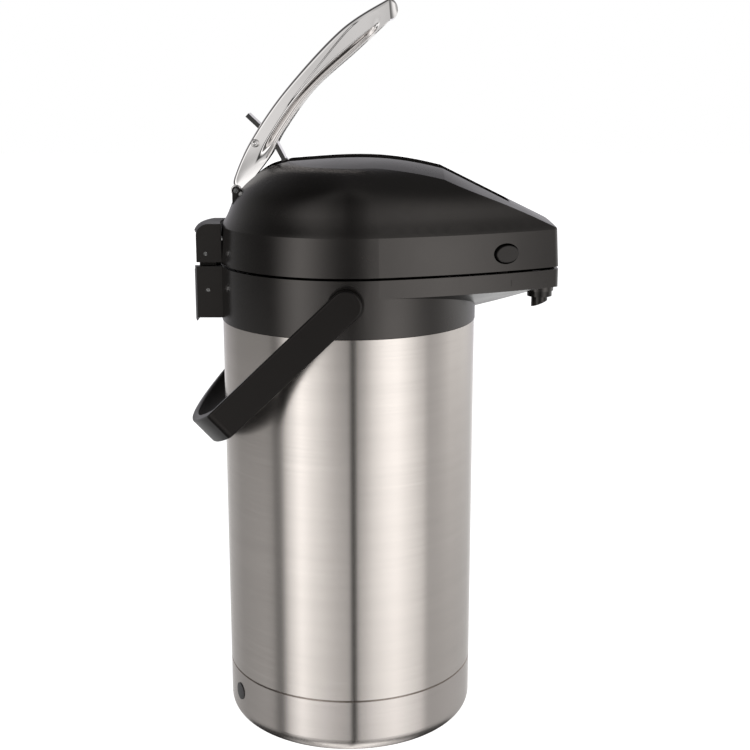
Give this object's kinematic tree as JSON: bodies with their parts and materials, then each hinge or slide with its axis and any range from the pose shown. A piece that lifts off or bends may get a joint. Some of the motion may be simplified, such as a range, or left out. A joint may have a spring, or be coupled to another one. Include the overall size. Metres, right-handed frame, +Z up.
{
  "type": "lever airpot",
  "caption": "Insulated steel jug with a hinged black pump lid and pouring beak, a raised chrome pump lever, a nozzle under the beak and a swinging carry handle.",
  "frame": {"origin": "centre of the round body on the surface it stands on", "axes": "+Z up along the body, +X towards the spout, the release button called near is on the -Y side"},
  "size_m": [0.2377, 0.1832, 0.476],
  "materials": {
    "brushed_body": "horizontally brushed",
    "brushed_base": "horizontally brushed",
    "inner_steel": "plain drawn steel",
    "shell_plastic": "fine satin texture",
    "fitting_plastic": "fine satin texture",
    "handle_plastic": "satin",
    "button_plastic": "satin",
    "nozzle_plastic": "smooth",
    "tube_plastic": "translucent white",
    "rubber_black": "matt",
    "bellows_rubber": "matt, off-white",
    "badge": "plain disc, no mark",
    "lever_chrome": "polished",
    "pin_steel": "bright drawn steel"
  },
  "bodies": {
    "root": {"outer_shell": "brushed_body", "outer_shoulder": "inner_steel", "inner_liner": "inner_steel", "liner_floor": "inner_steel", "liner_neck": "inner_steel", "neck_ring": "fitting_plastic", "vessel_bottom": "inner_steel", "vacuum_seal_cap": "inner_steel", "base_cup": "brushed_base", "base_pad": "rubber_black", "round_badge": "badge", "neck_gasket": "rubber_black", "collar": "shell_plastic", "stem_cap": "fitting_plastic", "riser_tube": "tube_plastic", "strainer_foot": "nozzle_plastic", "spout_pipe": "tube_plastic", "spout_nozzle": "nozzle_plastic", "pipe_seal": "rubber_black", "hinge_lower_block": "fitting_plastic", "hinge_knuckle": "fitting_plastic", "hinge_lower_pin": "pin_steel", "hinge_lower_screws": "pin_steel", "handle_pivot_pins": "pin_steel"},
    "lid": {"lid_shell": "shell_plastic", "lid_base": "fitting_plastic", "lid_screws": "pin_steel", "lid_gasket": "rubber_black", "valve_flap": "rubber_black", "bellows": "bellows_rubber", "return_spring": "pin_steel", "hinge_upper_block": "fitting_plastic", "hinge_upper_pin": "pin_steel", "hinge_upper_screws": "pin_steel", "button_springs": "pin_steel", "lever_bracket": "fitting_plastic", "lever_pin": "pin_steel"},
    "lever": {"lever_arm": "lever_chrome", "tab_rivet": "lever_chrome", "tab_spring": "pin_steel"},
    "release_tab": {"release_tab": "lever_chrome"},
    "plunger": {"plunger": "fitting_plastic"},
    "release_button_near": {"release_button_near": "button_plastic"},
    "release_button_far": {"release_button_far": "button_plastic"},
    "carry_handle": {"carry_handle": "handle_plastic"}
  },
  "joints": [
    {"name": "lid_hinge", "type": "hinge", "parent": "root", "child": "lid", "pos_m": [-0.0913, 0, 0.318], "axis": [0, -1, 0], "range_deg": [0, 85]},
    {"name": "lever_pivot", "type": "hinge", "parent": "lid", "child": "lever", "pos_m": [-0.071, 0, 0.358], "axis": [0, 1, 0], "range_deg": [0, 43.5], "stiffness_Nm_per_rad": 0.8, "springref_deg": -20.05},
    {"name": "plunger_slide", "type": "slide", "parent": "lid", "child": "plunger", "axis": [0, 0, -1], "range_m": [0, 0.0259], "deforming": ["bellows", "return_spring"]},
    {"name": "tab_pivot", "type": "hinge", "parent": "lever", "child": "release_tab", "pos_m": [-0.0585, 0, 0.3875], "axis": [0, -1, 0], "range_deg": [0, 12], "stiffness_Nm_per_rad": 0.05, "springref_deg": -22.92},
    {"name": "button_near_slide", "type": "slide", "parent": "lid", "child": "release_button_near", "axis": [-0.4438, 0.8961, 0], "range_m": [0, 0.003], "stiffness_N_per_m": 300, "springref_m": -0.004},
    {"name": "button_far_slide", "type": "slide", "parent": "lid", "child": "release_button_far", "axis": [-0.4438, -0.8961, 0], "range_m": [0, 0.003], "stiffness_N_per_m": 300, "springref_m": -0.004},
    {"name": "handle_pivot", "type": "hinge", "parent": "root", "child": "carry_handle", "pos_m": [0, 0, 0.296], "axis": [0, 1, 0], "range_deg": [0, 110]}
  ],
  "couplings": [
    {"joint": "plunger_slide", "follows": "lever_pivot", "m_per_rad": 0.03394}
  ]
}
